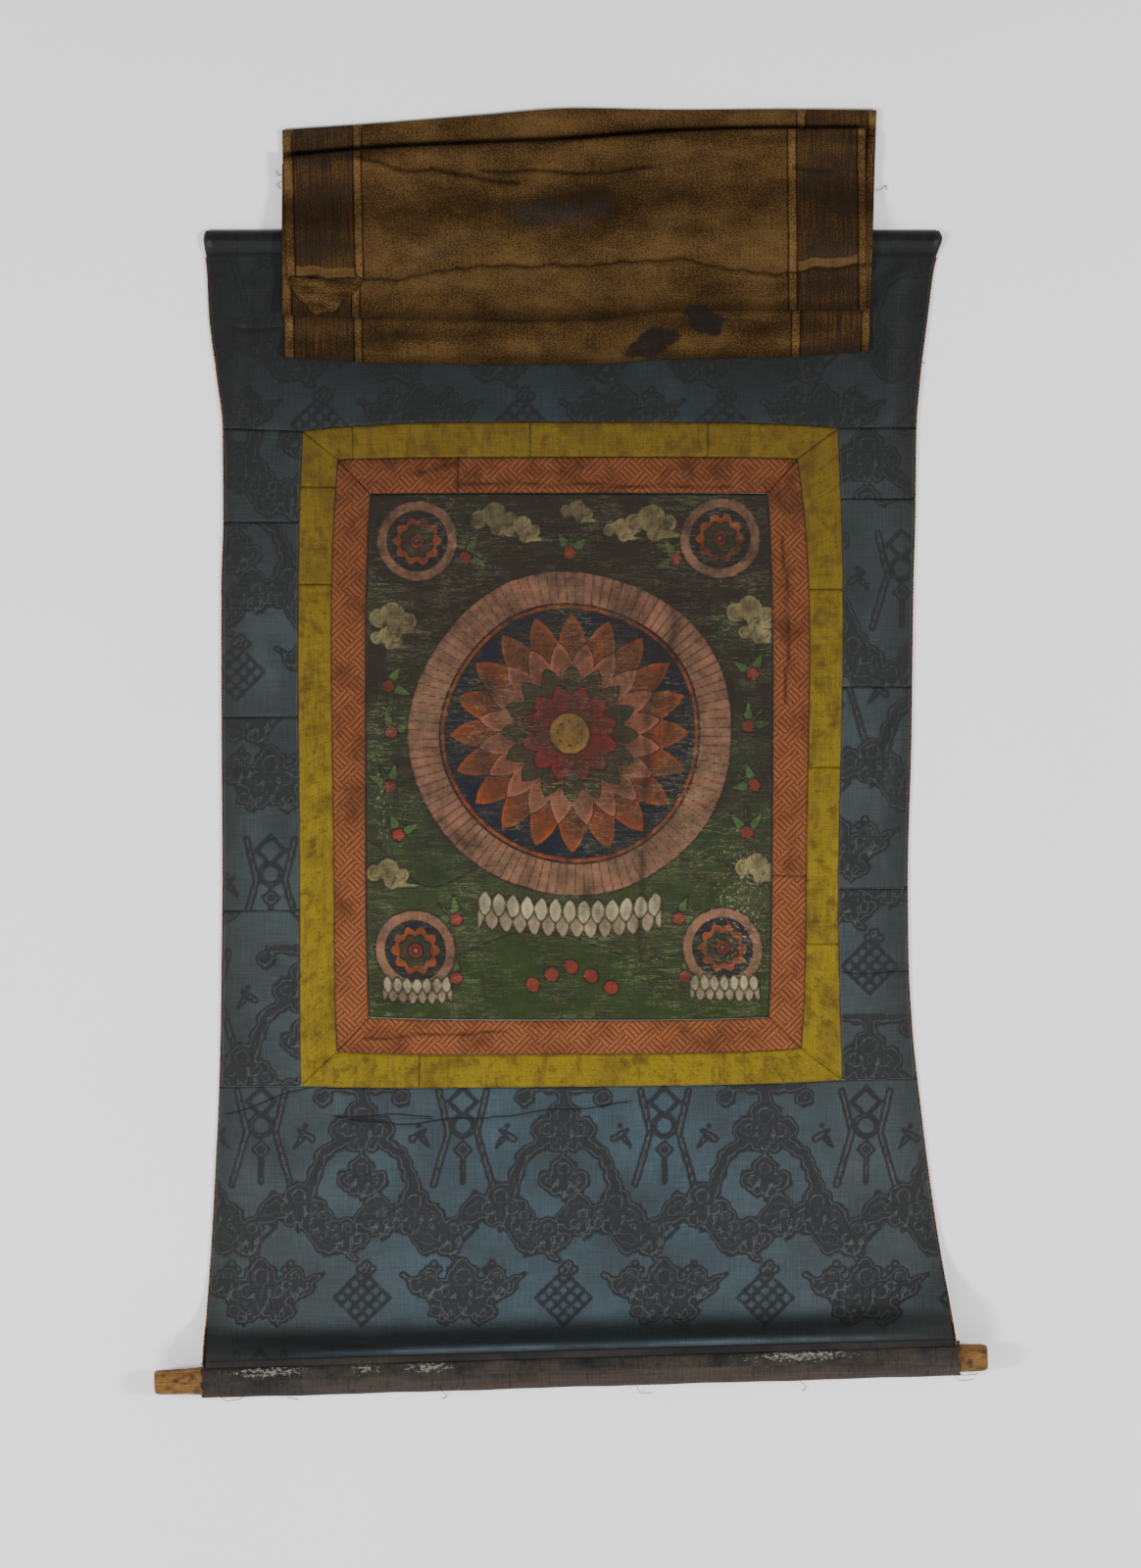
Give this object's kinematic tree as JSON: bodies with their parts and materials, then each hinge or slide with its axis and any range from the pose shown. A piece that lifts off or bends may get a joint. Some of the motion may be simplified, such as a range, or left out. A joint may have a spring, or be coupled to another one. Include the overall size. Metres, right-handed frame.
{
  "type": "thangka scroll painting",
  "caption": "Tibetan-style thangka scroll: painted cotton in pieced silk borders and blue damask mounting, with folded silk veil and wooden roller, lying face up.",
  "frame": {"origin": "middle of the whole outline, on the surface that the scroll lies on", "axes": "+Y to the scroll's head and folded veil, +X to the painting's right, +Z out of the painted face, to whoever looks at it"},
  "size_m": [0.7634, 1.1834, 0.0332],
  "materials": {
    "painted_cotton": "distemper-painted cotton, matte, creased",
    "orange_brocade": "woven silk with a diagonal key-fret",
    "yellow_silk": "satin silk, grimy",
    "blue_damask": "silk damask with cloud scrolls",
    "edge_thread": "overcast brown thread",
    "sleeve_cloth": "worn brown-grey cloth",
    "roller_wood": "hand-cut softwood, rubbed",
    "veil_silk": "thin gold-brown silk, mottled with age",
    "veil_border_silk": "dark ribbed silk, split",
    "veil_ochre_silk": "ochre silk edging"
  },
  "bodies": {
    "root": {"edge_cord_left": "edge_thread", "edge_cord_right": "edge_thread", "mount_bottom_panel": "blue_damask", "mount_left_1": "blue_damask", "mount_left_2": "blue_damask", "mount_left_3": "blue_damask", "mount_left_4": "blue_damask", "mount_right_1": "blue_damask", "mount_right_2": "blue_damask", "mount_right_3": "blue_damask", "mount_right_4": "blue_damask", "mount_top_panel": "blue_damask", "orange_bottom": "orange_brocade", "orange_left": "orange_brocade", "orange_right_1": "orange_brocade", "orange_right_2": "orange_brocade", "orange_top_1": "orange_brocade", "orange_top_2": "orange_brocade", "painting_canvas": "painted_cotton", "roller": "roller_wood", "roller_sleeve": "sleeve_cloth", "veil_border_left": "veil_border_silk", "veil_border_right": "veil_border_silk", "veil_centre": "veil_silk", "veil_edge_left": "veil_ochre_silk", "veil_edge_right": "veil_ochre_silk", "veil_strip_left": "veil_ochre_silk", "veil_strip_right": "veil_ochre_silk", "yellow_bottom_1": "yellow_silk", "yellow_bottom_2": "yellow_silk", "yellow_left_1": "yellow_silk", "yellow_left_2": "yellow_silk", "yellow_left_3": "yellow_silk", "yellow_right_1": "yellow_silk", "yellow_right_2": "yellow_silk", "yellow_right_3": "yellow_silk", "yellow_right_4": "yellow_silk", "yellow_top_1": "yellow_silk", "yellow_top_2": "yellow_silk", "yellow_top_3": "yellow_silk", "yellow_top_4": "yellow_silk"}
  },
  "joints": []
}
